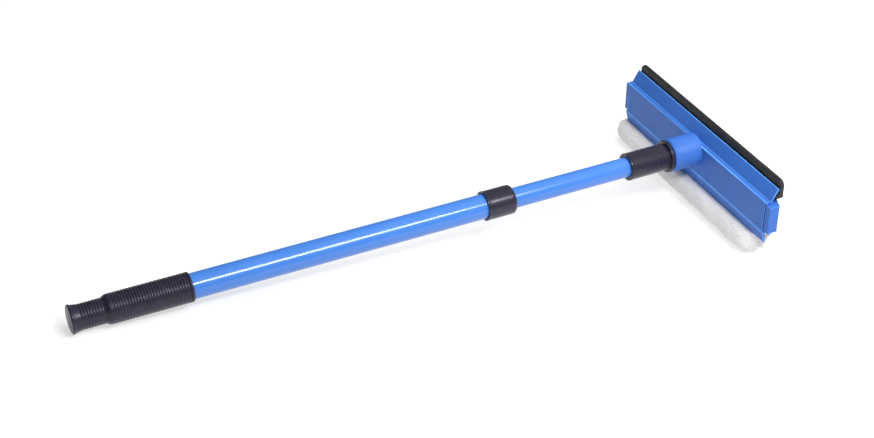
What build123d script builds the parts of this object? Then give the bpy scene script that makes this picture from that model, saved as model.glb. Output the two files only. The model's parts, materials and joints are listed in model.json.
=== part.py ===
from build123d import *
import os
from math import asin, atan2, degrees, hypot

# Telescopic window squeegee, millimetres.
# The tool is drawn along its own pole: +X runs along the pole axis from the grip to the head, Z = 0
# is the pole axis, X = 0 is the front face of the head's plate, the rubber blade points up (+Z) and
# the sponge hangs down. The last section lays the finished tool on the ground.

# ---- fits and clearances -------------------------------------------------------------------------
running_gap = 0.1          # radial gap of pieces that slide or turn in each other
free_gap = 0.3             # gap between pieces that pass each other
jaw_gap = 0.1              # between a jaw of the head and what it holds

# ---- pole tubes ----------------------------------------------------------------------------------
outer_diameter = 22.0
outer_wall = 0.8
outer_length = 357.2
inner_diameter = 18.2
inner_wall = 0.9
inner_length = 330.0
shown_inner_length = 115.6  # inner tube between collar and pole tip as the tool lies

# ---- hand grip -----------------------------------------------------------------------------------
grip_wall = 1.7
grip_length = 71.2
grip_rib_pitch = 2.7
grip_rib_height = 0.5
neck_diameter = 21.6
neck_length = 29.8
end_flange_diameter = 24.6
end_flange_length = 2.6
neck_hollow_diameter = 14.0
neck_end_wall = 4.0
end_plug_length = 22.0
end_plug_wall = 1.6

# ---- collar at the mouth of the outer tube -------------------------------------------------------
collar_wall = 2.0
collar_length = 27.0
collar_rim_length = 1.4
collar_rim_height = 0.25
collar_end_wall = 6.0
collar_round = 2.6
bush_length = 24.0

# ---- twist lock inside the outer tube ------------------------------------------------------------
stud_plug_length = 20.0
stud_flange_length = 3.0
stud_diameter = 8.4
stud_length = 33.0
stud_pitch = 2.5
thread_depth = 0.6
expander_length = 28.0
expander_end_wall = 5.0
expander_slot = 2.0
expander_slots = 3
cone_length = 12.0
cone_small_radius = 5.4
cone_large_radius = 8.2
nut_travel = 2.5
washer_radius = 7.0
washer_thickness = 1.5
stop_screw_radius = 1.5
stop_screw_length = 12.0
stop_head_radius = 3.0
stop_head_height = 2.0

# ---- pole tip ------------------------------------------------------------------------------------
tip_wall = 3.3
tip_sleeve_length = 38.0
tip_groove_length = 2.0
tip_groove_depth = 0.9
tip_ring_height = 2.4
tip_ring_length = 3.0
tip_tube_stop = 2.0
nose_neck_length = 2.5
nose_thread_diameter = 18.8
nose_thread_depth = 1.1
nose_length = 24.6
nose_pitch = 3.2
seat_gap = 1.0             # between the ring of the pole tip and the mouth of the socket

# ---- head: shells --------------------------------------------------------------------------------
head_length = 228.6
body_depth = 15.8          # below the jaw that holds the blade
jaw_step = 2.8             # how far the jaw stands out behind the body
shell_wall = 2.0
plate_top = 9.2            # heights are from the pole axis
plate_bottom = -20.9
ledge_depth = 3.8
flange_tip_z = 21.2
flange_wall = 1.9          # along the pole
lip_step = 0.8
lip_tip_inset = 1.8
lip_tip_z = -32.4
lip_wall = 1.8
rear_shell_length = 214.0
rear_flange_z = 19.8
shelf_z = 8.6
shelf_wall = 1.8
shelf_gap = 1.2            # between the shelf and the front shell
socket_diameter = 30.0
socket_length = 26.7
socket_chamfer = 1.2

# ---- head: screws and end caps -------------------------------------------------------------------
screw_y = (38.0, 92.0)
screw_z = -5.0
boss_radius = 3.6
pad_radius = 5.0
pad_thickness = 2.2
screw_radius = 1.45
screw_hole_gap = 0.05
screw_tip_gap = 0.4
screw_head_radius = 2.9
screw_head_height = 1.8
cap_overhang = 4.4         # how far a cap stands out past the front shell
cap_parting = 3.0          # the plate ends this far inside the end of the shell
cap_groove = 1.0           # between the end of the plate and a cap
cap_plug_length = 12.0
cap_wall = 1.6
cap_front_x = 0.6
cap_rear_inset = 5.0
cap_end_round = 0.8

# ---- head: rubber blade --------------------------------------------------------------------------
blade_length = 227.0
blade_thickness = 4.0
blade_top = 27.5
blade_bead_gap = 1.95       # between the bead and the upper flange
blade_bead_height = 2.4
blade_round = 1.5

# ---- head: sponge --------------------------------------------------------------------------------
sponge_length = 222.0
sponge_shift = 13.0        # towards the left end of the head
sponge_radius = 17.4
sponge_centre_z = -42.7
sponge_flat = 1.5          # how much the ground flattens the round sponge
sponge_end_round = 5.0
cover_wall = 1.4
neck_strip_length = 222.0
strip_z = -26.6
strip_wall = 2.4
strip_rib_wall = 1.6
strip_rib_depth = 13.0

# ---- places along the pole, from the head back to the grip ---------------------------------------
mouth_x = -socket_length
ring_front_x = mouth_x - seat_gap
ring_rear_x = ring_front_x - tip_ring_length
groove_rear_x = ring_rear_x - tip_groove_length
tip_rear_x = groove_rear_x - tip_sleeve_length
inner_front_x = groove_rear_x - tip_tube_stop
inner_rear_x = inner_front_x - inner_length
collar_front_x = tip_rear_x - shown_inner_length
collar_rear_x = collar_front_x - collar_length
outer_front_x = collar_front_x - collar_end_wall
outer_rear_x = outer_front_x - outer_length
grip_front_x = outer_rear_x + grip_length
grip_end_x = outer_rear_x - neck_length
stud_face_x = inner_rear_x - stud_flange_length
stud_end_x = stud_face_x - stud_length
expander_front_x = stud_face_x - free_gap
expander_rear_x = expander_front_x - expander_length

outer_radius = outer_diameter / 2
outer_bore = outer_radius - outer_wall
inner_radius = inner_diameter / 2
inner_bore = inner_radius - inner_wall
bush_bore = inner_radius + running_gap
stud_radius = stud_diameter / 2
expander_radius = outer_bore - running_gap
head_half = head_length / 2
plate_half = head_half - cap_parting
head_depth = body_depth + jaw_step
middle_x = body_depth / 2
blade_rear_x = head_depth - shell_wall - jaw_gap
blade_front_x = blade_rear_x - blade_thickness
flange_tip_x = blade_front_x - jaw_gap - flange_wall
screw_seat_x = body_depth - pad_thickness
pilot_end_x = 2 * shell_wall


def turned(points):
    """Solid of revolution about the pole axis from (x, radius) points."""
    outline = Polyline(*[(x, 0, r) for x, r in points], close=True)
    return revolve(make_face(outline), axis=Axis.X)


def ring(x0, x1, radius, bore=0.0):
    return turned([(x0, bore), (x1, bore), (x1, radius), (x0, radius)])


def extruded(points, half_length):
    """Bar along Y from (x, z) points, centred on the pole."""
    outline = Polyline(*[(x, -half_length, z) for x, z in points], close=True)
    return extrude(make_face(outline), amount=2 * half_length, dir=(0, 1, 0))


def block(x0, x1, y0, y1, z0, z1):
    return Pos((x0 + x1) / 2, (y0 + y1) / 2, (z0 + z1) / 2) * Box(x1 - x0, y1 - y0, z1 - z0)


def ribs(x_from, x_to, root, height, pitch):
    """(x, radius) points of round-topped ribs between two places along the pole."""
    count = int((x_to - x_from) / pitch)
    spacing = (x_to - x_from) / count
    points = []
    for n in range(count):
        start = x_from + n * spacing
        points += [
            (start + 0.14 * spacing, root),
            (start + 0.28 * spacing, root + height),
            (start + 0.72 * spacing, root + height),
            (start + 0.86 * spacing, root),
        ]
    return points


# ---- pole ----------------------------------------------------------------------------------------
def make_outer_tube():
    return ring(outer_rear_x, outer_front_x, outer_radius, outer_bore)


def make_inner_tube():
    return ring(inner_rear_x, inner_front_x, inner_radius, inner_bore)


def make_hand_grip():
    neck = neck_diameter / 2
    flange = end_flange_diameter / 2
    main = outer_radius + grip_wall
    shoulder_x = outer_rear_x + 2.7 * grip_wall
    flare_end_x = grip_end_x + 0.45 * neck_length
    hollow_end_x = grip_end_x + neck_end_wall
    band = 2.0
    points = [(hollow_end_x, 0), (hollow_end_x, neck_hollow_diameter / 2)]
    points += [(outer_rear_x, neck_hollow_diameter / 2), (outer_rear_x, outer_radius)]
    points += [(grip_front_x, outer_radius), (grip_front_x, main - 1.0), (grip_front_x - 0.8, main)]
    points += [(grip_front_x - band, main)]
    grip_ribs = ribs(shoulder_x, grip_front_x - band, main - grip_rib_height,
                     grip_rib_height, grip_rib_pitch)
    points += list(reversed(grip_ribs))
    points += [(shoulder_x, main), (outer_rear_x + grip_wall, main - 0.35 * grip_wall)]
    points += [(outer_rear_x, main - 0.7 * grip_wall), (outer_rear_x - grip_wall, neck)]
    neck_ribs = ribs(flare_end_x, outer_rear_x - grip_wall - 0.4, neck - grip_rib_height,
                     grip_rib_height, grip_rib_pitch)
    points += list(reversed(neck_ribs))
    points += [(flare_end_x - 0.2, neck), (grip_end_x + 0.25 * neck_length, neck + 0.4)]
    points += [(grip_end_x + end_flange_length, flange), (grip_end_x + 0.7, flange)]
    points += [(grip_end_x, flange - 0.8), (grip_end_x, 0)]
    return turned(points)


def make_tube_end_plug():
    front = outer_rear_x + end_plug_length
    cup = ring(outer_rear_x, front, outer_bore)
    return cup - ring(outer_rear_x, front - end_plug_wall, outer_bore - end_plug_wall)


def make_lock_collar():
    radius = outer_radius + collar_wall
    body = ring(collar_rear_x, collar_front_x, radius)
    front_edge = body.edges().filter_by(GeomType.CIRCLE).sort_by(Axis.X)[-1]
    body = fillet(front_edge, collar_round)
    rim = radius + collar_rim_height
    rim_front_x = collar_rear_x + collar_rim_length
    body += turned([(collar_rear_x, 0), (collar_rear_x, rim - 0.3), (collar_rear_x + 0.3, rim),
                    (rim_front_x - 0.3, rim), (rim_front_x + 0.5, radius), (rim_front_x + 0.5, 0)])
    body -= ring(collar_rear_x, outer_front_x, outer_radius)
    return body - ring(outer_front_x, collar_front_x, bush_bore + free_gap)


def make_guide_bush():
    return ring(outer_front_x - bush_length, outer_front_x, outer_bore, bush_bore)


# ---- twist lock ----------------------------------------------------------------------------------
def make_lock_stud():
    plug = ring(inner_rear_x, inner_rear_x + stud_plug_length, inner_bore)
    flange = ring(stud_face_x, inner_rear_x, inner_radius)
    root = stud_radius - thread_depth
    points = [(stud_end_x, 0), (stud_end_x, root)]
    points += ribs(stud_end_x, stud_face_x, root, thread_depth, stud_pitch)
    points += [(stud_face_x, root), (stud_face_x, 0)]
    hole = ring(stud_end_x, stud_end_x + stop_screw_length, stop_screw_radius)
    return plug + flange + turned(points) - hole


def cone_radius(x):
    """Radius of the cone nut at a place along the pole: it grows towards the rear."""
    slope = (cone_large_radius - cone_small_radius) / cone_length
    return cone_large_radius - slope * (x - expander_rear_x)


def make_lock_expander():
    sleeve = ring(expander_rear_x, expander_front_x, expander_radius)
    sleeve -= ring(expander_rear_x, expander_front_x, stud_radius + free_gap)
    inner_x = expander_front_x - expander_end_wall
    cone_front_x = expander_rear_x + cone_length
    cavity = [(expander_rear_x, 0), (expander_rear_x, cone_radius(expander_rear_x) + free_gap)]
    cavity += [(cone_front_x, cone_radius(cone_front_x) + free_gap)]
    cavity += [(inner_x, cone_radius(cone_front_x) + free_gap), (inner_x, 0)]
    sleeve -= turned(cavity)
    for n in range(expander_slots):
        slot = block(expander_rear_x, inner_x, -expander_slot / 2, expander_slot / 2,
                     stud_radius + 2 * free_gap, outer_radius)
        sleeve -= Rot(360.0 * n / expander_slots, 0, 0) * slot
    return sleeve


def make_cone_nut():
    front_x = expander_rear_x + cone_length - free_gap
    nut = turned([(expander_rear_x, 0), (front_x, 0), (front_x, cone_radius(front_x)),
                  (expander_rear_x, cone_radius(expander_rear_x))])
    key_half = expander_slot / 2 - running_gap
    key_top = expander_radius - 2 * free_gap
    for n in range(expander_slots):
        key = block(expander_rear_x + 1.0, expander_rear_x + cone_length / 2, -key_half, key_half,
                    stud_radius + 1.0, key_top)
        nut += Rot(360.0 * n / expander_slots, 0, 0) * key
    return nut - ring(expander_rear_x, front_x, stud_radius + running_gap)


def make_stop_washer():
    return ring(stud_end_x - washer_thickness, stud_end_x, washer_radius, stop_screw_radius)


def make_stop_screw():
    seat_x = stud_end_x - washer_thickness
    shank = ring(seat_x, stud_end_x + stop_screw_length, stop_screw_radius)
    head = ring(seat_x - stop_head_height, seat_x, stop_head_radius)
    slot = block(seat_x - stop_head_height, seat_x - stop_head_height / 2,
                 -0.4, 0.4, -stop_head_radius, stop_head_radius)
    return shank + head - slot


def make_pole_tip():
    sleeve = inner_radius + tip_wall
    groove = sleeve - tip_groove_depth
    collar = sleeve + tip_ring_height
    nose_root = nose_thread_diameter / 2 - nose_thread_depth
    nose_end_x = ring_front_x + nose_length
    thread_start_x = ring_front_x + nose_neck_length
    points = [(tip_rear_x, inner_radius), (tip_rear_x, sleeve - 0.7), (tip_rear_x + 0.7, sleeve)]
    points += [(groove_rear_x, sleeve - 0.2), (groove_rear_x + 0.3, groove), (ring_rear_x, groove)]
    points += [(ring_rear_x, collar - 0.8), (ring_rear_x + 0.8, collar)]
    points += [(ring_front_x - 0.8, collar), (ring_front_x, collar - 0.8)]
    points += [(ring_front_x, nose_root)]
    points += ribs(thread_start_x, nose_end_x - 1.0, nose_root, nose_thread_depth, nose_pitch)
    points += [(nose_end_x - 0.8, nose_root), (nose_end_x, nose_root - 1.0), (nose_end_x, 0)]
    points += [(inner_front_x, 0), (inner_front_x, inner_radius)]
    return turned(points)


# ---- head shells ---------------------------------------------------------------------------------
def lip_inner_x(z):
    """X of the front lip's inner face at a height; the rear lip mirrors it about the middle."""
    root_x = shell_wall - lip_step
    tip_x = lip_tip_inset + lip_wall
    share = (plate_bottom - z) / (plate_bottom - lip_tip_z)
    return root_x + share * (tip_x - root_x)


def screw_places():
    return [(side * y, screw_z) for y in screw_y for side in (-1, 1)]


def along_x(x0, x1, y, z, radius):
    """Round bar parallel to the pole."""
    bar = Cylinder(radius, x1 - x0, align=(Align.CENTER, Align.CENTER, Align.MIN))
    return Pos(x0, y, z) * Rot(0, 90, 0) * bar


def flange_inner(z):
    """X of the upper flange's inner face at a height."""
    slope = (flange_tip_x - ledge_depth) / (flange_tip_z - plate_top)
    return ledge_depth + flange_wall + slope * (z - plate_top)


def make_head_front_shell():
    ledge_under_z = plate_top - shell_wall
    outline = [
        (ledge_depth, plate_top),
        (0, plate_top),
        (0, plate_bottom),
        (-lip_step, plate_bottom - lip_step),
        (lip_tip_inset, lip_tip_z),
        (lip_inner_x(lip_tip_z), lip_tip_z),
        (lip_inner_x(plate_bottom), plate_bottom),
        (shell_wall, plate_bottom + 1.0),
        (shell_wall, ledge_under_z),
        (flange_inner(ledge_under_z), ledge_under_z),
        (flange_inner(flange_tip_z - 0.8), flange_tip_z - 0.8),
        (flange_tip_x, flange_tip_z),
    ]
    shell = extruded(outline, head_half)
    for side in (-1, 1):
        ends = sorted((side * plate_half, side * (head_half + 1)))
        shell -= block(-1, shell_wall + 1, *ends, plate_bottom + 0.4, ledge_under_z)
    socket = along_x(mouth_x, shell_wall / 2, 0, 0, socket_diameter / 2)
    mouth = socket.edges().filter_by(GeomType.CIRCLE).sort_by(Axis.X)[0]
    shell += chamfer(mouth, socket_chamfer)
    bore = nose_thread_diameter / 2 + running_gap
    shell -= along_x(mouth_x, 0, 0, 0, bore)
    shell -= turned([(mouth_x, 0), (mouth_x + 1.4, 0), (mouth_x + 1.4, bore), (mouth_x, bore + 1.4)])
    boss_end_x = body_depth - shell_wall - pad_thickness
    for y, z in screw_places():
        shell += along_x(shell_wall / 2, boss_end_x, y, z, boss_radius)
        shell -= along_x(pilot_end_x, boss_end_x, y, z, screw_radius + screw_hole_gap)
    return shell


def make_head_rear_shell():
    inner_x = body_depth - shell_wall
    jaw_x = head_depth - shell_wall
    shelf_front_x = flange_inner(shelf_z + shelf_wall) + shelf_gap
    outline = [
        (head_depth, rear_flange_z),
        (head_depth, shelf_z),
        (body_depth, shelf_z - jaw_step),
        (body_depth, plate_bottom),
        (body_depth + lip_step, plate_bottom - lip_step),
        (body_depth - lip_tip_inset, lip_tip_z),
        (body_depth - lip_inner_x(lip_tip_z), lip_tip_z),
        (body_depth - lip_inner_x(plate_bottom), plate_bottom),
        (inner_x, plate_bottom + 1.0),
        (inner_x, shelf_z),
        (shelf_front_x, shelf_z),
        (shelf_front_x, shelf_z + shelf_wall),
        (jaw_x, shelf_z + shelf_wall),
        (jaw_x, rear_flange_z),
    ]
    shell = extruded(outline, rear_shell_length / 2)
    pad_front_x = inner_x - pad_thickness
    for y, z in screw_places():
        shell += along_x(pad_front_x, inner_x + 0.1, y, z, pad_radius)
        shell -= along_x(screw_seat_x, body_depth, y, z, screw_head_radius + free_gap)
        shell -= along_x(pad_front_x, screw_seat_x, y, z, screw_radius + screw_hole_gap)
    return shell


def make_shell_screws():
    """Four equal self-tapping screws, driven in from behind."""
    top_x = screw_seat_x + screw_head_height
    screws = []
    for y, z in screw_places():
        shank = along_x(pilot_end_x + screw_tip_gap, screw_seat_x, y, z, screw_radius)
        head = along_x(screw_seat_x, top_x, y, z, screw_head_radius)
        for turn in (0, 90):
            cross = Box(1.4, 0.7, 3.4)
            head -= Pos(top_x, y, z) * Rot(turn, 0, 0) * cross
        screws.append(shank + head)
    return Compound(children=screws)


def make_end_cap(side):
    """Cap at one end of the head: a block that stands out, and a hollow plug between the shells."""
    top_z = plate_top - shell_wall - free_gap
    bottom_z = plate_bottom + 0.4 + free_gap
    block_start = plate_half + cap_groove
    block_end = head_half + cap_overhang
    plug_start = block_start - cap_plug_length
    plug_rear_x = body_depth - shell_wall - free_gap
    cap = block(cap_front_x, body_depth - cap_rear_inset, block_start, block_end, bottom_z, top_z)
    outer_edges = cap.edges().filter_by(Axis.Z).group_by(Axis.Y)[-1]
    cap = fillet(outer_edges, cap_end_round)
    plug = block(shell_wall, plug_rear_x, plug_start, block_start, bottom_z, top_z)
    plug -= block(shell_wall + cap_wall, plug_rear_x - cap_wall, plug_start,
                  block_start - cap_wall, bottom_z + cap_wall, top_z - cap_wall)
    cap += plug
    if side < 0:
        cap = mirror(cap, about=Plane.XZ)
    return cap


# ---- what the head holds -------------------------------------------------------------------------
def make_rubber_blade():
    foot_z = shelf_z + shelf_wall
    bead_z = foot_z + blade_bead_height
    bead_x = flange_inner(bead_z) + blade_bead_gap
    outline = [
        (blade_rear_x, foot_z),
        (blade_rear_x, blade_top),
        (blade_front_x, blade_top),
        (blade_front_x, bead_z + blade_bead_height),
        (bead_x, bead_z),
        (bead_x, foot_z),
    ]
    blade = extruded(outline, blade_length / 2)
    top_edges = blade.edges().filter_by(Axis.Y).group_by(Axis.Z)[-1]
    return fillet(top_edges, blade_round)


def ground_tilt():
    """Slope of the ground under the tool: it touches the end flange and the flattened sponge."""
    run = middle_x - grip_end_x
    drop = sponge_centre_z + end_flange_diameter / 2
    return asin((sponge_radius - sponge_flat) / hypot(run, drop)) - atan2(drop, run)


def pad_shape(skin):
    """The sponge, a given depth inside its cover: a round pad with a flat sole, and a neck."""
    radius = sponge_radius - skin
    length = sponge_length - 2 * skin
    centre = Pos(middle_x, sponge_shift, sponge_centre_z)
    pad = Rot(90, 0, 0) * Cylinder(radius, length)
    pad = fillet(pad.edges().filter_by(GeomType.CIRCLE), sponge_end_round)
    sole_z = -(sponge_radius - sponge_flat - skin)
    below = block(-2 * radius, 2 * radius, -length, length, sole_z - radius, sole_z)
    pad = centre * Rot(0, degrees(ground_tilt()), 0) * (pad - below)
    shoulder_z = lip_tip_z - free_gap - skin
    pad -= block(middle_x - 2 * radius, middle_x + 2 * radius, -length, length, shoulder_z, 0)
    neck_half = middle_x - lip_inner_x(lip_tip_z) - jaw_gap - skin
    half_length = neck_strip_length / 2 - skin
    neck = block(middle_x - neck_half, middle_x + neck_half, -half_length, half_length,
                 sponge_centre_z, strip_z)
    return pad + neck


def make_sponge_core():
    return pad_shape(cover_wall) - make_sponge_strip()


def make_sponge_cover():
    return pad_shape(0) - pad_shape(cover_wall)


def make_sponge_strip():
    half_width = middle_x - lip_inner_x(strip_z)
    half_length = neck_strip_length / 2
    bar = block(middle_x - half_width, middle_x + half_width, -half_length, half_length,
                strip_z, strip_z + strip_wall)
    rib = block(middle_x - strip_rib_wall / 2, middle_x + strip_rib_wall / 2,
                -half_length + 2 * cover_wall, half_length - 2 * cover_wall,
                strip_z - strip_rib_depth, strip_z)
    return bar + rib


def make_nodes():
    return {
        "outer_tube": make_outer_tube(),
        "hand_grip": make_hand_grip(),
        "tube_end_plug": make_tube_end_plug(),
        "lock_collar": make_lock_collar(),
        "guide_bush": make_guide_bush(),
        "lock_expander": make_lock_expander(),
        "cone_nut": make_cone_nut(),
        "inner_tube": make_inner_tube(),
        "lock_stud": make_lock_stud(),
        "stop_washer": make_stop_washer(),
        "stop_screw": make_stop_screw(),
        "pole_tip": make_pole_tip(),
        "head_front_shell": make_head_front_shell(),
        "head_rear_shell": make_head_rear_shell(),
        "shell_screws": make_shell_screws(),
        "end_cap_left": make_end_cap(1),
        "end_cap_right": make_end_cap(-1),
        "rubber_blade": make_rubber_blade(),
        "sponge_core": make_sponge_core(),
        "sponge_cover": make_sponge_cover(),
        "sponge_strip": make_sponge_strip(),
    }


# ---- laid on the ground --------------------------------------------------------------------------
# Tipped until the end flange and the sole of the sponge both touch Z = 0, then centred over the
# origin, which is the middle of the bottom of the whole tool's box.
def ground_place(nodes):
    tipped = Rot(0, -degrees(ground_tilt()), 0)
    box = Compound(children=[tipped * node for node in nodes.values()]).bounding_box()
    middle = box.center()
    return Pos(-middle.X, -middle.Y, -box.min.Z) * tipped


def main():
    os.makedirs("parts", exist_ok=True)
    nodes = make_nodes()
    place = ground_place(nodes)
    for name, node in nodes.items():
        export_step(place * node, f"parts/{name}.step")


if __name__ == "__main__":
    main()
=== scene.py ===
import json
import math

import bmesh
import bpy
from mathutils import Matrix, Vector, noise


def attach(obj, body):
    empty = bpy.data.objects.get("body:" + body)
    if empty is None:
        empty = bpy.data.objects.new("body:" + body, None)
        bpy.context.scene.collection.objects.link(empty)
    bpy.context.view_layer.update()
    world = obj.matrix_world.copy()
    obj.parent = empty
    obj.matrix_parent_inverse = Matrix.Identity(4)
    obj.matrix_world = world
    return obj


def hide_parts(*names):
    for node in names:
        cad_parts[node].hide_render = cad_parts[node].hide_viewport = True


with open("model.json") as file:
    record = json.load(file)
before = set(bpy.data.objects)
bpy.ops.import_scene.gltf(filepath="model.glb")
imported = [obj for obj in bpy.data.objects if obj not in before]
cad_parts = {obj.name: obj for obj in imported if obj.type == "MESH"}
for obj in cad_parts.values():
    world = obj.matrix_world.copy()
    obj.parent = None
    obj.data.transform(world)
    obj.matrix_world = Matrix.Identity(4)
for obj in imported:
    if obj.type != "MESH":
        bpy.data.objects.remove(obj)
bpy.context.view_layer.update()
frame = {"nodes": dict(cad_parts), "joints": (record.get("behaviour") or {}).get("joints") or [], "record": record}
MM = 0.001


# ---- the tool's own axes -------------------------------------------------------------------------
# X along the pole towards the head, Y across, Z up through the rubber blade. The origin is where the
# pole axis meets the front face of the head's plate. Sizes are in millimetres in these axes, and the
# ones here repeat the CAD part's own.
SOCKET_LENGTH = 26.7
SEAT_GAP = 1.0             # between the ring of the pole tip and the mouth of the socket
TIP_RING_LENGTH = 3.0
TIP_RING_HEIGHT = 2.4
NOSE_NECK_LENGTH = 2.5
NOSE_THREAD_RADIUS = 9.4
NOSE_THREAD_DEPTH = 1.1
NOSE_THREAD_PITCH = 3.2
BLADE_THICKNESS = 4.0
BLADE_BEAD_HEIGHT = 2.4
LIP_TIP_Z = -32.4
SPONGE_CENTRE_Z = -42.7

joint = {j["name"]: j for j in frame["joints"]}
pole_point = Vector(joint["twist_lock"]["pos_m"])
pole_axis = Vector(joint["telescope_slide"]["axis"]).normalized()
across = Vector((0, 1, 0))
upright = pole_axis.cross(across)


def along_pole(node):
    """Start and end of a CAD node along the pole, in metres from the lock's centre."""
    places = [(v.co - pole_point).dot(pole_axis) for v in frame["nodes"][node].data.vertices]
    return min(places), max(places)


plate_place = along_pole("head_front_shell")[0] + SOCKET_LENGTH * MM
TOOL = Matrix((pole_axis, across, upright)).transposed().to_4x4()
TOOL.translation = pole_point + pole_axis * plate_place
TO_TOOL = TOOL.inverted()


def span(node):
    """Start and end of a CAD node along the pole, in the tool's axes."""
    return [(place - plate_place) / MM for place in along_pole(node)]


def node_points(node):
    """Vertices of a CAD node, in the tool's axes."""
    return [TO_TOOL @ v.co / MM for v in frame["nodes"][node].data.vertices]


def radius_of(node):
    """Largest distance of a CAD node from the pole axis."""
    return max(math.hypot(p.y, p.z) for p in node_points(node))


def bore_of(node):
    """Smallest distance of a CAD node from the pole axis."""
    return min(math.hypot(p.y, p.z) for p in node_points(node))


# ---- camera --------------------------------------------------------------------------------------
IMAGE_WIDTH = 874
VIEW_AZIMUTH = math.radians(-25.87)
VIEW_ELEVATION = math.radians(34.44)
VIEW_DISTANCE = 1490.0
VIEW_TARGET = Vector((-257.5, 0, 0))
FOCAL_LENGTH = 1750.0      # in pixels of an image IMAGE_WIDTH wide
SENSOR = 36.0


def make_camera():
    """The photograph's view, with its angles taken from the tool's axes."""
    back = Vector((math.sin(VIEW_AZIMUTH) * math.cos(VIEW_ELEVATION),
                   -math.cos(VIEW_AZIMUTH) * math.cos(VIEW_ELEVATION),
                   math.sin(VIEW_ELEVATION)))
    right = Vector((0, 0, 1)).cross(back).normalized()
    place = Matrix((right, back.cross(right), back)).transposed().to_4x4()
    place.translation = (VIEW_TARGET + back * VIEW_DISTANCE) * MM
    camera = bpy.data.objects.new("camera", bpy.data.cameras.new("camera"))
    bpy.context.scene.collection.objects.link(camera)
    camera.matrix_world = TOOL @ place
    camera.data.sensor_width = SENSOR
    camera.data.lens = FOCAL_LENGTH / IMAGE_WIDTH * SENSOR
    camera.data.clip_end = 50
    bpy.context.scene.camera = camera


# ---- light and ground ----------------------------------------------------------------------------
def softbox(name, place, target, size, power, turn_deg=0.0, mirrored=True):
    """A rectangular lamp; place and target are in the tool's axes, size and power in m and W."""
    light = bpy.data.lights.new(name, "AREA")
    light.shape = "RECTANGLE"
    light.size, light.size_y = size
    light.energy = power
    lamp = bpy.data.objects.new(name, light)
    bpy.context.scene.collection.objects.link(lamp)
    back = (Vector(place) - Vector(target)).normalized()
    level = Vector((1, 0, 0))
    level = (level - back * level.dot(back)).normalized()
    side = Matrix.Rotation(math.radians(turn_deg), 3, back) @ level
    turn = Matrix((side, back.cross(side), back)).transposed().to_4x4()
    turn.translation = Vector(place) * MM
    lamp.matrix_world = TOOL @ turn
    lamp.visible_glossy = mirrored


BRIGHT_SIDE = (0.78, -0.3, 0.55)
BRIGHT_STRENGTH = 0.50
DIM_STRENGTH = 0.04


def make_world():
    """Soft white surroundings, dimmer in front of the head's plate."""
    world = bpy.data.worlds.new("studio")
    bpy.context.scene.world = world
    world.use_nodes = True
    tree = world.node_tree
    place = tree.nodes.new("ShaderNodeTexCoord").outputs["Generated"]
    toward = tree.nodes.new("ShaderNodeVectorMath")
    toward.operation = "DOT_PRODUCT"
    toward.inputs[1].default_value = BRIGHT_SIDE
    tree.links.new(place, toward.inputs[0])
    share = tree.nodes.new("ShaderNodeMapRange")
    share.inputs["From Min"].default_value = -0.35
    share.inputs["From Max"].default_value = 0.9
    share.inputs["To Min"].default_value = DIM_STRENGTH
    share.inputs["To Max"].default_value = BRIGHT_STRENGTH
    tree.links.new(toward.outputs["Value"], share.inputs["Value"])
    tree.links.new(share.outputs["Result"], tree.nodes["Background"].inputs["Strength"])
    tree.nodes["Background"].inputs["Color"].default_value = (1, 1, 1, 1)


FLOOR_HALF = 6.0           # metres
FLOOR_GREY = 0.42
FLOOR_GLOW = 0.60
KEY_POWER = 11.0
OVERHEAD_POWER = 31.0


def make_stage():
    """A pale floor under a narrow lamp that the glossy pieces mirror and a wide one that they don't."""
    make_world()
    mesh = bpy.data.meshes.new("floor")
    half = FLOOR_HALF
    mesh.from_pydata([(-half, -half, 0), (half, -half, 0), (half, half, 0), (-half, half, 0)],
                     [], [(0, 1, 2, 3)])
    floor = bpy.data.objects.new("floor", mesh)
    bpy.context.scene.collection.objects.link(floor)
    paper = bpy.data.materials.new("pale_floor")
    paper.use_nodes = True
    shader = paper.node_tree.nodes["Principled BSDF"]
    shader.inputs["Base Color"].default_value = (FLOOR_GREY, FLOOR_GREY, FLOOR_GREY, 1)
    shader.inputs["Roughness"].default_value = 0.9
    shader.inputs["Emission Color"].default_value = (1, 1, 1, 1)
    shader.inputs["Emission Strength"].default_value = FLOOR_GLOW
    mesh.materials.append(paper)
    softbox("key", (-70, -645, 803), (-70, 0, 0), (0.70, 0.19), KEY_POWER, turn_deg=3)
    softbox("overhead", (500, -100, 1700), (0, 0, 0), (1.7, 1.7), OVERHEAD_POWER, mirrored=False)
    bpy.context.scene.view_settings.view_transform = "Standard"


make_camera()
make_stage()


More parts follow.
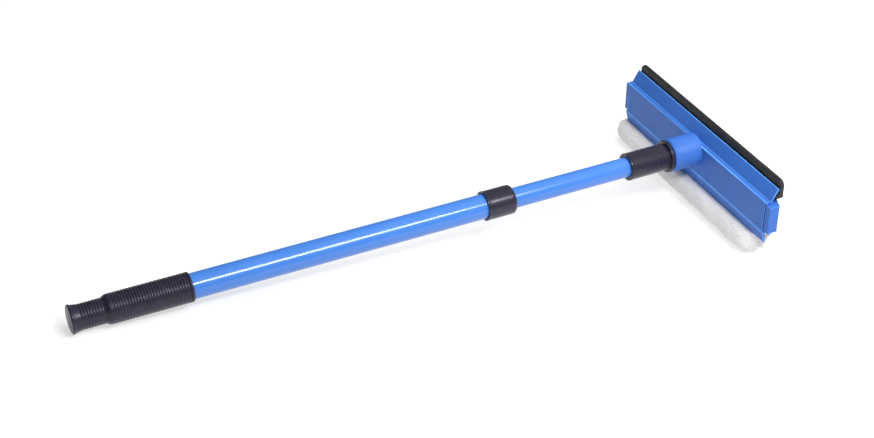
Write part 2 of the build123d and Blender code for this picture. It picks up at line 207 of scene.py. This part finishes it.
# ---- materials -----------------------------------------------------------------------------------
class Nodes:
    """Short names for building one material's node tree."""

    def __init__(self, name):
        self.material = bpy.data.materials.new(name)
        self.material.use_nodes = True
        self.tree = self.material.node_tree
        self.shader = self.tree.nodes["Principled BSDF"]
        self.place = self.tree.nodes.new("ShaderNodeTexCoord").outputs["Object"]

    def link(self, source, target):
        self.tree.links.new(source, self.shader.inputs[target] if isinstance(target, str) else target)

    def set(self, **values):
        for key, value in values.items():
            self.shader.inputs[key.replace("_", " ")].default_value = value

    def stretch(self, scale):
        node = self.tree.nodes.new("ShaderNodeMapping")
        node.inputs["Scale"].default_value = scale
        self.link(self.place, node.inputs["Vector"])
        return node.outputs["Vector"]

    def noise(self, scale, detail=2.0, rough=0.5, vector=None):
        node = self.tree.nodes.new("ShaderNodeTexNoise")
        node.inputs["Scale"].default_value = scale
        node.inputs["Detail"].default_value = detail
        node.inputs["Roughness"].default_value = rough
        self.link(vector or self.place, node.inputs["Vector"])
        return node.outputs["Fac"]

    def cells(self, scale, vector=None):
        """Distance from the middle of small cells."""
        node = self.tree.nodes.new("ShaderNodeTexVoronoi")
        node.inputs["Scale"].default_value = scale
        self.link(vector or self.place, node.inputs["Vector"])
        return node.outputs["Distance"]

    def ramp(self, factor, low, high, a, b):
        """Maps factor from low..high to colour or value a..b."""
        node = self.tree.nodes.new("ShaderNodeValToRGB")
        for element, position, value in zip(node.color_ramp.elements, (low, high), (a, b)):
            element.position = position
            element.color = (*value, 1) if isinstance(value, tuple) else (value, value, value, 1)
        self.link(factor, node.inputs["Fac"])
        return node.outputs["Color"]

    def mix(self, factor, a, b, mode="MIX"):
        node = self.tree.nodes.new("ShaderNodeMix")
        node.data_type = "RGBA"
        node.blend_type = mode
        for key, value in (("Factor", factor), ("A", a), ("B", b)):
            socket = [s for s in node.inputs if s.name == key and s.enabled][0]
            if isinstance(value, bpy.types.NodeSocket):
                self.link(value, socket)
            elif isinstance(value, (int, float)):
                socket.default_value = value
            else:
                socket.default_value = (*value, 1)
        return [s for s in node.outputs if s.enabled][0]

    def bump(self, height, strength, distance_mm):
        node = self.tree.nodes.new("ShaderNodeBump")
        node.inputs["Strength"].default_value = strength
        node.inputs["Distance"].default_value = distance_mm * MM
        self.link(height, node.inputs["Height"])
        self.link(node.outputs["Normal"], "Normal")


def blue_paint():
    """Glossy blue paint of the tubes, with faint lighter scuffs."""
    m = Nodes("blue_paint")
    colour = m.ramp(m.noise(9, 4), 0.35, 0.7, (0.037, 0.160, 0.52), (0.046, 0.178, 0.57))
    scuffs = m.ramp(m.noise(55, 6, 0.72, m.stretch((0.25, 1, 1))), 0.66, 0.74, 0.0, 0.35)
    m.link(m.mix(scuffs, colour, (0.075, 0.225, 0.62)), "Base Color")
    m.link(m.ramp(m.noise(60, 3), 0.3, 0.75, 0.17, 0.27), "Roughness")
    m.set(Specular_IOR_Level=0.45, Coat_Weight=0.35, Coat_Roughness=0.12)
    m.bump(m.noise(700, 2), 0.10, 0.15)
    return m.material


def blue_plastic():
    """Satin blue moulded plastic with fine dust."""
    m = Nodes("blue_plastic")
    colour = m.ramp(m.noise(16, 4), 0.3, 0.75, (0.029, 0.122, 0.45), (0.039, 0.146, 0.525))
    dust = m.ramp(m.noise(620, 6, 0.75), 0.50, 0.72, 0.0, 0.34)
    m.link(m.mix(dust, colour, (0.10, 0.155, 0.33)), "Base Color")
    m.link(m.ramp(m.noise(120, 4), 0.3, 0.75, 0.42, 0.56), "Roughness")
    m.set(Specular_IOR_Level=0.28)
    m.bump(m.noise(1500, 3), 0.22, 0.2)
    return m.material


def edge_highlight_plastic():
    """The same plastic, lighter and glossier, for the eased edges: its lighter colour is a painted highlight."""
    m = Nodes("blue_plastic_painted_edge_highlight")
    colour = m.ramp(m.noise(90, 5, 0.6), 0.3, 0.75, (0.070, 0.255, 0.70), (0.115, 0.345, 0.84))
    m.link(colour, "Base Color")
    m.link(m.ramp(m.noise(120, 4), 0.3, 0.75, 0.30, 0.45), "Roughness")
    m.set(Specular_IOR_Level=0.5)
    m.bump(m.noise(1500, 3), 0.22, 0.2)
    return m.material


def black_rubber():
    """Soft black PVC of the grip."""
    m = Nodes("black_rubber")
    colour = m.ramp(m.noise(160, 4), 0.3, 0.75, (0.010, 0.009, 0.017), (0.020, 0.018, 0.033))
    m.link(colour, "Base Color")
    m.link(m.ramp(m.noise(300, 3), 0.3, 0.75, 0.30, 0.42), "Roughness")
    m.set(Specular_IOR_Level=0.40, Specular_Tint=(0.86, 0.84, 1.0, 1))
    m.bump(m.noise(1800, 3), 0.3, 0.2)
    return m.material


def black_plastic():
    """Satin black moulded plastic."""
    m = Nodes("black_plastic")
    colour = m.ramp(m.noise(420, 5, 0.6), 0.3, 0.75, (0.013, 0.011, 0.021), (0.020, 0.018, 0.031))
    m.link(colour, "Base Color")
    m.link(m.ramp(m.noise(500, 3), 0.3, 0.75, 0.25, 0.31), "Roughness")
    m.set(Specular_IOR_Level=0.50, Specular_Tint=(0.86, 0.85, 1.0, 1))
    m.bump(m.noise(1600, 2), 0.12, 0.1)
    return m.material


def blade_rubber():
    """Dark rubber with a chalky bloom."""
    m = Nodes("blade_rubber")
    colour = m.ramp(m.noise(70, 5), 0.3, 0.75, (0.010, 0.010, 0.012), (0.024, 0.024, 0.025))
    chalk = m.ramp(m.noise(260, 6, 0.75), 0.52, 0.74, 0.0, 0.5)
    m.link(m.mix(chalk, colour, (0.060, 0.058, 0.053)), "Base Color")
    m.link(m.ramp(m.noise(260, 3), 0.3, 0.75, 0.5, 0.7), "Roughness")
    m.set(Specular_IOR_Level=0.35)
    m.bump(m.noise(1200, 4), 0.4, 0.3)
    return m.material


def white_plastic():
    """Natural white moulded plastic."""
    m = Nodes("white_plastic")
    m.link(m.ramp(m.noise(40, 3), 0.3, 0.75, (0.76, 0.76, 0.72), (0.84, 0.84, 0.81)), "Base Color")
    m.link(m.ramp(m.noise(150, 3), 0.3, 0.75, 0.35, 0.5), "Roughness")
    m.bump(m.noise(1500, 2), 0.1, 0.1)
    return m.material


def zinc_steel():
    """Zinc plated steel of the hidden screws and the washer."""
    m = Nodes("zinc_steel")
    m.link(m.ramp(m.noise(220, 4), 0.3, 0.75, (0.55, 0.55, 0.52), (0.74, 0.73, 0.69)), "Base Color")
    m.link(m.ramp(m.noise(400, 3), 0.3, 0.75, 0.28, 0.45), "Roughness")
    m.set(Metallic=1.0)
    m.bump(m.noise(900, 2), 0.1, 0.1)
    return m.material


def sponge_mesh():
    """Off-white knitted mesh over foam: small eyelets in rows, darkened with painted shade, and fuzz."""
    m = Nodes("sponge_mesh")
    holes = m.cells(620, m.stretch((1.0, 0.8, 1.0)))
    yarn = m.ramp(m.noise(1400, 4, 0.7), 0.3, 0.75, (0.72, 0.71, 0.715), (0.94, 0.93, 0.94))
    clouds = m.ramp(m.noise(38, 4, 0.6), 0.3, 0.7, (0.91, 0.89, 0.88), (1.0, 1.0, 1.0))
    # the cell centres take a darker grey: painted shade inside the eyelets of the mesh
    colour = m.mix(m.ramp(holes, 0.05, 0.45, 0.0, 1.0), (0.62, 0.60, 0.59), yarn)
    m.link(m.mix(1.0, colour, clouds, "MULTIPLY"), "Base Color")
    m.set(Roughness=0.95, Sheen_Weight=0.3, Sheen_Roughness=0.5)
    m.bump(m.mix(0.5, m.ramp(holes, 0.05, 0.5, 0.0, 1.0), m.noise(900, 4, 0.7)), 0.7, 0.7)
    return m.material


MATERIALS = {
    "blue_tube": blue_paint(),
    "blue_plastic": blue_plastic(),
    "black_grip": black_rubber(),
    "black_plastic": black_plastic(),
    "blade_rubber": blade_rubber(),
    "white_plastic": white_plastic(),
    "zinc_steel": zinc_steel(),
    "sponge_mesh": sponge_mesh(),
}
MATERIALS["sponge_foam"] = MATERIALS["sponge_mesh"]
# lighter blue for the bevel faces of the eased edges: a painted highlight along them
PAINTED_EDGE_HIGHLIGHT = edge_highlight_plastic()
SLOTS = {part["node"]: part["material_slot"] for part in frame["record"]["subparts"]}
BODIES = {node: body
          for body, nodes in frame["record"]["behaviour"]["bodies"].items()
          for node in nodes}


# ---- mesh helpers --------------------------------------------------------------------------------
SHARP = math.radians(38)


def place_piece(mesh, name, *nodes, smooth=SHARP):
    """Makes a mesh the visible piece for some CAD nodes of one body."""
    piece = bpy.data.objects.new(name, mesh)
    bpy.context.scene.collection.objects.link(piece)
    mesh.polygons.foreach_set("use_smooth", [True] * len(mesh.polygons))
    mesh.set_sharp_from_angle(angle=smooth)
    mesh.materials.clear()
    mesh.materials.append(MATERIALS[SLOTS[nodes[0]]])
    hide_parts(*nodes)
    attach(piece, BODIES[nodes[0]])
    return piece


def tool_mesh(name, points, faces):
    """Mesh from points in the tool's axes."""
    mesh = bpy.data.meshes.new(name)
    mesh.from_pydata([TOOL @ (Vector(p) * MM) for p in points], [], faces)
    work = bmesh.new()
    work.from_mesh(mesh)
    bmesh.ops.remove_doubles(work, verts=work.verts, dist=1e-6)
    bmesh.ops.recalc_face_normals(work, faces=work.faces)
    work.to_mesh(mesh)
    work.free()
    return mesh


def rounded(corners, steps=6):
    """Outline with each corner (a, b, round) eased by a curve that starts that far from it."""
    outline = []
    for n, (a, b, size) in enumerate(corners):
        corner = Vector((a, b))
        before = Vector(corners[n - 1][:2]) - corner
        after = Vector(corners[(n + 1) % len(corners)][:2]) - corner
        start = corner + before.normalized() * min(size, before.length * 0.49)
        end = corner + after.normalized() * min(size, after.length * 0.49)
        if not size:
            outline.append(tuple(corner))
            continue
        for step in range(steps + 1):
            t = step / steps
            outline.append(tuple(start.lerp(corner, t).lerp(corner.lerp(end, t), t)))
    return outline


def lathe(name, outline, around=144):
    """Closed outline of (x, radius) turned about the pole axis."""
    points, faces = [], []
    count = len(outline)
    for n in range(around):
        angle = 2 * math.pi * n / around
        points += [(x, r * math.sin(angle), r * math.cos(angle)) for x, r in outline]
        base, following = n * count, (n + 1) % around * count
        faces += [(base + k, base + (k + 1) % count, following + (k + 1) % count, following + k)
                  for k in range(count)]
    return tool_mesh(name, points, faces)


def loft(name, sections):
    """Closed rings of points joined in order, with flat ends."""
    count = len(sections[0])
    points = [p for section in sections for p in section]
    faces = []
    for n in range(len(sections) - 1):
        base = n * count
        faces += [(base + k, base + (k + 1) % count, base + count + (k + 1) % count, base + count + k)
                  for k in range(count)]
    last = (len(sections) - 1) * count
    faces += [tuple(range(count)), tuple(last + k for k in reversed(range(count)))]
    return tool_mesh(name, points, faces)


def apply_modifiers(piece):
    """Bakes a piece's modifiers into its mesh."""
    bpy.context.view_layer.update()
    shape = piece.evaluated_get(bpy.context.evaluated_depsgraph_get())
    mesh = bpy.data.meshes.new_from_object(shape)
    piece.modifiers.clear()
    old, piece.data = piece.data, mesh
    bpy.data.meshes.remove(old)


def room_beside(edge):
    """Width of the narrower face at an edge."""
    start, end = (v.co for v in edge.verts)
    along = (end - start).normalized()
    widths = [max((v.co - start).cross(along).length for v in face.verts)
              for face in edge.link_faces]
    return min(widths)


EASED_EDGE_LENGTH = 5.0    # shorter edges stay as they are
EASED_EDGE_ANGLE = math.radians(28)
EASED_EDGE_ROOM = 0.42     # largest share of a face's width that an eased edge takes
FLAT_FACE_AREA = 60.0      # larger faces are shaded flat, in square millimetres


def softened(node, name, width_mm):
    """Copy of a moulded CAD node with eased long edges, which carry a painted highlight."""
    work = bmesh.new()
    work.from_mesh(frame["nodes"][node].data)
    bmesh.ops.remove_doubles(work, verts=work.verts, dist=2e-6)
    bmesh.ops.dissolve_limit(work, angle_limit=math.radians(0.6), verts=work.verts, edges=work.edges)
    width = width_mm * MM
    weight = work.edges.layers.float.new("bevel_weight_edge")
    for edge in work.edges:
        long = edge.is_manifold and edge.calc_length() > EASED_EDGE_LENGTH * MM
        if long and edge.calc_face_angle() > EASED_EDGE_ANGLE:
            edge[weight] = min(1.0, EASED_EDGE_ROOM * room_beside(edge) / width)
    mesh = bpy.data.meshes.new(name)
    work.to_mesh(mesh)
    work.free()
    piece = place_piece(mesh, name, node)
    piece.data.materials.append(PAINTED_EDGE_HIGHLIGHT)
    bevel = piece.modifiers.new("ease", "BEVEL")
    bevel.width = width
    bevel.segments = 3
    bevel.limit_method = "WEIGHT"
    bevel.use_clamp_overlap = False
    # the bevel faces take the second material, whose lighter blue paints a highlight along each eased edge
    bevel.material = 1
    apply_modifiers(piece)
    for face in piece.data.polygons:
        face.use_smooth = face.area < FLAT_FACE_AREA * MM * MM
    return piece


# ---- pole ----------------------------------------------------------------------------------------
TUBE_END_ROUND = 0.35
FIT_GAP = 0.02             # keeps the bore of a moulding just off its tube


def make_tube(node, name):
    """Thin tube, painted outside and in."""
    start, end = span(node)
    outer, bore = radius_of(node), bore_of(node)
    corners = [(start, bore, 0), (end, bore, 0.2)]
    corners += [(end, outer, TUBE_END_ROUND), (start, outer, 0.2)]
    place_piece(lathe(name, rounded(corners), 192), name, node)


def rib_row(start, end, top, depth, pitch):
    """Round-topped ribs of a soft moulding, as (x, radius, 0) points."""
    count = round((end - start) / pitch)
    row = []
    for n in range(count * 8):
        share = n / 8
        dip = (0.5 + 0.5 * math.cos(2 * math.pi * share)) ** 2.2
        row.append((start + share * (end - start) / count, top - depth * dip, 0))
    return row + [(end, top - depth, 0)]


GRIP_RIB_PITCH = 2.35
GRIP_RIB_DEPTH = 0.5
NECK_RIB_DEPTH = 0.45
NECK_STEP = 1.9            # from the ribs of the grip in to those of its neck
FLANGE_STEP = 0.4          # and in to the end flange
NECK_HOLLOW_RADIUS = 7.0
NECK_END_WALL = 4.0


def make_grip():
    """Ribbed grip on the rear of the outer tube, with a ribbed hollow neck and a flange behind it."""
    end, front = span("hand_grip")
    tube_rear = span("outer_tube")[0]
    bore = radius_of("outer_tube") + FIT_GAP
    main = radius_of("hand_grip")
    neck = main - NECK_STEP
    flange = main - FLANGE_STEP
    hollow_end = end + NECK_END_WALL
    outline = [(hollow_end, 0, 0), (hollow_end, NECK_HOLLOW_RADIUS, 0.4)]
    outline += [(tube_rear, NECK_HOLLOW_RADIUS, 0.4), (tube_rear, bore, 0)]
    outline += [(front, bore, 0.15), (front, main - 0.1, 0.7), (front - 2.6, main, 0)]
    ribs = rib_row(tube_rear + 5.4, front - 2.8, main, GRIP_RIB_DEPTH, GRIP_RIB_PITCH)
    outline += list(reversed(ribs))
    outline += [(tube_rear + 4.9, main, 0.5), (tube_rear + 1.5, main - 0.35, 0.9)]
    outline += [(tube_rear - 0.4, neck + 0.3, 0.8), (tube_rear - 1.8, neck - 0.05, 0.6)]
    ribs = rib_row(end + 9.0, tube_rear - 2.2, neck, NECK_RIB_DEPTH, GRIP_RIB_PITCH)
    outline += list(reversed(ribs))
    outline += [(end + 8.6, neck, 1.0), (end + 6.0, neck + 0.35, 1.6), (end + 2.9, flange - 0.5, 0.6)]
    outline += [(end + 2.4, flange, 0.4), (end + 1.0, flange, 0.7), (end + 0.35, flange - 1.5, 0.5)]
    outline += [(end + 0.6, flange - 3.2, 0.5), (end, flange - 7.5, 2.5), (end, 0, 0)]
    place_piece(lathe("grip_moulding", rounded(outline), 160), "grip_moulding", "hand_grip",
                smooth=math.radians(75))


COLLAR_RIM_HEIGHT = 0.25
COLLAR_RIM_WORN = 0.2      # height of the rim as it shows
COLLAR_BORE_GAP = 0.4      # around the inner tube, which slides here
COLLAR_NOSE_ROUND = 3.2
COLLAR_FIT_GAP = 0.03


def make_collar():
    """Collar pushed over the mouth of the outer tube, with a thin rim at its rear edge."""
    rear, front = span("lock_collar")
    tube_front = span("outer_tube")[1]
    tube = radius_of("outer_tube")
    seat = tube + COLLAR_FIT_GAP
    bore = radius_of("inner_tube") + COLLAR_BORE_GAP
    body = radius_of("lock_collar") - COLLAR_RIM_HEIGHT
    rim = body + COLLAR_RIM_WORN
    outline = [(rear + 1.3, seat, 0.1), (tube_front, seat, 0), (tube_front, bore, 0)]
    outline += [(front, bore, 0.3), (front, body, COLLAR_NOSE_ROUND), (rear + 3.4, body, 1.0)]
    outline += [(rear + 2.0, body + 0.05, 0.6), (rear + 1.2, rim, 0.4), (rear, rim, 0.3)]
    outline += [(rear, tube + 0.75, 0.3), (rear + 1.3, tube + 0.7, 0.2)]
    place_piece(lathe("collar_moulding", rounded(outline)), "collar_moulding", "lock_collar",
                smooth=math.radians(60))


TIP_MOUTH_DEPTH = 1.2      # the bore is wider over this length
TIP_GROOVE_LENGTH = 2.0
TIP_GROOVE_DEPTH = 0.95


def make_pole_tip():
    """Ferrule on the end of the inner tube, with a groove, a ring and a threaded nose."""
    rear, nose_end = span("pole_tip")
    ring_front = -SOCKET_LENGTH - SEAT_GAP
    ring_rear = ring_front - TIP_RING_LENGTH
    mouth = rear + TIP_MOUTH_DEPTH
    tube = radius_of("inner_tube")
    tube_front = span("inner_tube")[1]
    bore = tube + FIT_GAP
    ring = radius_of("pole_tip")
    sleeve = ring - TIP_RING_HEIGHT
    groove = sleeve - TIP_GROOVE_DEPTH
    root = NOSE_THREAD_RADIUS - NOSE_THREAD_DEPTH
    outline = [(tube_front, 0, 0), (tube_front, bore, 0), (mouth, bore, 0)]
    outline += [(mouth, tube + 0.7, 0.2), (rear, tube + 0.8, 0.3), (rear, sleeve, 0.35)]
    outline += [(rear + 1.3, sleeve + 0.15, 0.5), (rear + 2.2, sleeve - 0.05, 0.8)]
    outline += [(ring_rear - TIP_GROOVE_LENGTH, sleeve - 0.25, 0.3), (ring_rear - 1.7, groove, 0.3)]
    outline += [(ring_rear, groove, 0.3), (ring_rear, ring, 0.8), (ring_front, ring, 0.8)]
    outline += [(ring_front, root, 0.2)]
    outline += rib_row(ring_front + NOSE_NECK_LENGTH, nose_end - 1.0, NOSE_THREAD_RADIUS,
                       NOSE_THREAD_DEPTH, NOSE_THREAD_PITCH)
    outline += [(nose_end - 0.8, root, 0), (nose_end, root - 1.0, 0.6), (nose_end, 0, 0)]
    place_piece(lathe("tip_moulding", rounded(outline)), "tip_moulding", "pole_tip",
                smooth=math.radians(60))


make_tube("outer_tube", "outer_tube_painted")
make_tube("inner_tube", "inner_tube_painted")
make_grip()
make_collar()
make_pole_tip()


# ---- head ----------------------------------------------------------------------------------------
softened("head_front_shell", "front_shell_moulding", 0.85)
softened("head_rear_shell", "rear_shell_moulding", 0.7)
softened("end_cap_left", "left_cap_moulding", 0.6)
softened("end_cap_right", "right_cap_moulding", 0.6)


BLADE_END_ROUND = 5.0
BLADE_END_PINCH = 0.35     # how much thinner the bar is at its very ends
BLADE_CREST_WEAR = 0.15
BLADE_WAVE = 0.12


def make_blade():
    """Rubber bar with a soft top edge, worn round at both ends."""
    points = node_points("rubber_blade")
    rear, front = max(p.x for p in points), min(p.x for p in points)
    half, top = max(p.y for p in points), max(p.z for p in points)
    foot = min(p.z for p in points)
    face = rear - BLADE_THICKNESS
    end_round = BLADE_END_ROUND
    sections = []
    places = [half * share for share in (0.0, 0.2, 0.4, 0.6, 0.8, 0.93)]
    places += [half - end_round * (1 - math.sin(math.radians(a))) for a in range(0, 91, 10)]
    for y in sorted({round(side * place, 4) for place in places for side in (-1, 1)}):
        into_end = max(0.0, (abs(y) - (half - end_round)) / end_round)
        drop = end_round * (1 - math.sqrt(max(0.0, 1 - into_end ** 2)))
        wave = BLADE_WAVE * noise.noise(Vector((y * 0.035, 3.1, 0)))
        crest = top - BLADE_CREST_WEAR - drop + wave
        pinch = BLADE_END_PINCH * into_end ** 3
        corners = [(rear, foot, 0), (rear, crest, 1.3), (face + pinch, crest, 1.5)]
        corners += [(face + pinch, foot + 2 * BLADE_BEAD_HEIGHT, 0.5)]
        corners += [(front, foot + BLADE_BEAD_HEIGHT, 0.3), (front, foot, 0)]
        sections.append([(x, y, z) for x, z in rounded(corners)])
    place_piece(loft("blade_moulding", sections), "blade_moulding", "rubber_blade",
                smooth=math.radians(50))


make_blade()


# ---- sponge --------------------------------------------------------------------------------------
LIP_GAP_HALF = 4.2         # just under half the opening between the two lips
LIP_CLEARANCE = 0.35       # between the finished cover and the tips of the lips
FLOOR_CLEARANCE = 0.3
SHOULDER_DROP = 0.5        # from the tips of the lips down to the pad's shoulders
NECK_PLAY = 0.3            # between the neck and each lip, before the cover swells
NECK_DEPTH = 0.6           # how far the neck reaches below the pad's centre
NECK_TOP_GAP = 0.4         # below the top of the CAD cover
NECK_END_GAP = 1.0         # inside the ends of the strip
SPONGE_VOXEL = 4.0
SPONGE_SWELL_ROOM = 1.3    # the pad's radius starts this much smaller than the CAD cover's
SPONGE_SWELL_CAP = 3.5     # swelling moves no point further than this
SPONGE_PRESSURE = 4.0
SPONGE_STIFFNESS = 20
SPONGE_FRAMES = 20
SPONGE_HELD_Z = -36.0      # the cover is free below this height
SPONGE_HELD_FADE = 2.5     # and fully held from this much higher
SPONGE_AROUND = 64
SPONGE_ALONG = 56
SPONGE_PAST_END = 0.8      # the outermost rings lie this far past the pad's ends, drawn almost shut
SPONGE_SHUT_RADIUS = 0.3
SPONGE_END_SHARPNESS = 26
SPONGE_END_FULLNESS = 0.40
SPONGE_LEFT_NARROWING = 0.04
LUMPS = ((0.45, 0.05), (0.40, 0.16))    # height in millimetres and fineness of each layer
FOLDS_REACH = 26.0         # length of the folds at each end
FOLDS_DEPTH = 0.55
FOLDS_AROUND = 11
FOLDS_TOP_Z = -33.5        # folds and lumps start below this height
FOLDS_FADE = 3.0           # and are full this much lower


def pad_reach(angle, radius, shoulder):
    """Distance of the pad's outline from its centre; the angle is from straight up."""
    up = math.cos(angle)
    return min(radius, shoulder / up) if up > 1e-3 else radius


def neck_reach(angle, half, top):
    """The same for the neck, which reaches up into the jaw."""
    up, side = math.cos(angle), abs(math.sin(angle))
    return min(half / max(side, 1e-6), (top if up > 0 else NECK_DEPTH) / max(abs(up), 1e-6))


def sponge_ends():
    """Ends of the pad, without its neck."""
    low = [p.y for p in node_points("sponge_cover") if p.z < SPONGE_CENTRE_Z - 2]
    return min(low), max(low)


def sponge_start():
    """The pad before it swells: a round bar with tapered ends and a neck for the lips."""
    points = node_points("sponge_cover")
    middle = (max(p.x for p in points) + min(p.x for p in points)) / 2
    start, end = sponge_ends()
    radius = (max(p.x for p in points) - min(p.x for p in points)) / 2 - SPONGE_SWELL_ROOM
    shoulder = LIP_TIP_Z - SHOULDER_DROP - SPONGE_CENTRE_Z
    neck_top = max(p.z for p in points) - NECK_TOP_GAP - SPONGE_CENTRE_Z
    jaw_end = max(p.y for p in node_points("sponge_strip")) - NECK_END_GAP
    shares = [math.sin(math.pi / 2 * (2 * n / SPONGE_ALONG - 1)) for n in range(SPONGE_ALONG + 1)]
    places = [(start + end) / 2 + t * ((end - start) / 2 + SPONGE_PAST_END) for t in shares]
    places += [y for y in (-jaw_end, -jaw_end + 4, -jaw_end + 8) if y < places[0]]
    sections = []
    for y in sorted(places):
        t = (2 * y - start - end) / (end - start + 2 * SPONGE_PAST_END)
        taper = max(0.0, 1 - abs(t) ** SPONGE_END_SHARPNESS) ** SPONGE_END_FULLNESS
        left_taper = 1 - SPONGE_LEFT_NARROWING * max(0.0, t) ** 6
        ring = []
        for k in range(SPONGE_AROUND):
            angle = 2 * math.pi * k / SPONGE_AROUND
            reach = pad_reach(angle, radius * left_taper, shoulder) * taper
            reach = max(SPONGE_SHUT_RADIUS, reach)
            if abs(y) <= jaw_end:
                reach = max(reach, neck_reach(angle, LIP_GAP_HALF - NECK_PLAY, neck_top))
            ring.append((middle + reach * math.sin(angle), y,
                         SPONGE_CENTRE_Z + reach * math.cos(angle)))
        sections.append(ring)
    return loft("sponge_pad", sections), middle


def swell(piece):
    """Cloth simulation of the cover, filled by the foam; the neck stays in the jaw."""
    remesh = piece.modifiers.new("grid", "REMESH")
    remesh.mode = "VOXEL"
    remesh.voxel_size = SPONGE_VOXEL * MM
    apply_modifiers(piece)
    before = [v.co.copy() for v in piece.data.vertices]
    held = piece.vertex_groups.new(name="held")
    for v in piece.data.vertices:
        height = (TO_TOOL @ v.co / MM).z
        hold = min(1.0, max(0.0, (height - SPONGE_HELD_Z) / SPONGE_HELD_FADE))
        held.add([v.index], hold, "REPLACE")
    cloth = piece.modifiers.new("cloth", "CLOTH")
    cloth.settings.use_pressure = True
    cloth.settings.uniform_pressure_force = SPONGE_PRESSURE
    cloth.settings.vertex_group_mass = "held"
    cloth.settings.effector_weights.gravity = 0.0
    cloth.settings.quality = 6
    cloth.settings.tension_stiffness = SPONGE_STIFFNESS
    cloth.settings.compression_stiffness = SPONGE_STIFFNESS
    scene = bpy.context.scene
    for step in range(1, SPONGE_FRAMES + 1):
        scene.frame_set(step)
    apply_modifiers(piece)
    scene.frame_set(1)
    for v, rest in zip(piece.data.vertices, before):
        move = v.co - rest
        if move.length > SPONGE_SWELL_CAP * MM:
            v.co = rest + move.normalized() * SPONGE_SWELL_CAP * MM


def make_sponge():
    """Swells the pad, adds folds and lumps, and keeps it below the lips and above the floor."""
    mesh, middle = sponge_start()
    piece = place_piece(mesh, "sponge_pad", "sponge_cover", "sponge_core", smooth=math.radians(180))
    swell(piece)
    finer = piece.modifiers.new("finer", "SUBSURF")
    finer.levels = finer.render_levels = 2
    apply_modifiers(piece)
    points = [TO_TOOL @ v.co / MM for v in piece.data.vertices]
    start, end = sponge_ends()
    for v, p in zip(piece.data.vertices, points):
        out = Vector((p.x - middle, 0, p.z - SPONGE_CENTRE_Z))
        angle = math.atan2(out.x, out.z)
        near_end = min(1.0, max(0.0, 1 - min(p.y - start, end - p.y) / FOLDS_REACH))
        free = min(1.0, max(0.0, (FOLDS_TOP_Z - p.z) / FOLDS_FADE))
        swing = math.sin(FOLDS_AROUND * angle + 1.7 * math.sin(3 * angle))
        folds = FOLDS_DEPTH * near_end ** 1.5 * swing
        lumps = sum(size * noise.noise(p * rate) for size, rate in LUMPS)
        p += out.normalized() * (folds + lumps) * free
        if p.z > LIP_TIP_Z - LIP_CLEARANCE and abs(p.x - middle) > LIP_GAP_HALF - 0.2:
            p.z = LIP_TIP_Z - LIP_CLEARANCE
        v.co = TOOL @ (p * MM)
        v.co.z = max(v.co.z, FLOOR_CLEARANCE * MM)
    piece.data.polygons.foreach_set("use_smooth", [True] * len(piece.data.polygons))


make_sponge()


def finish_cad_nodes():
    """Gives every CAD node the material of its slot; the ones that nothing replaces are seen."""
    for name, node in frame["nodes"].items():
        node.data.materials.clear()
        node.data.materials.append(MATERIALS[SLOTS[name]])


finish_cad_nodes()
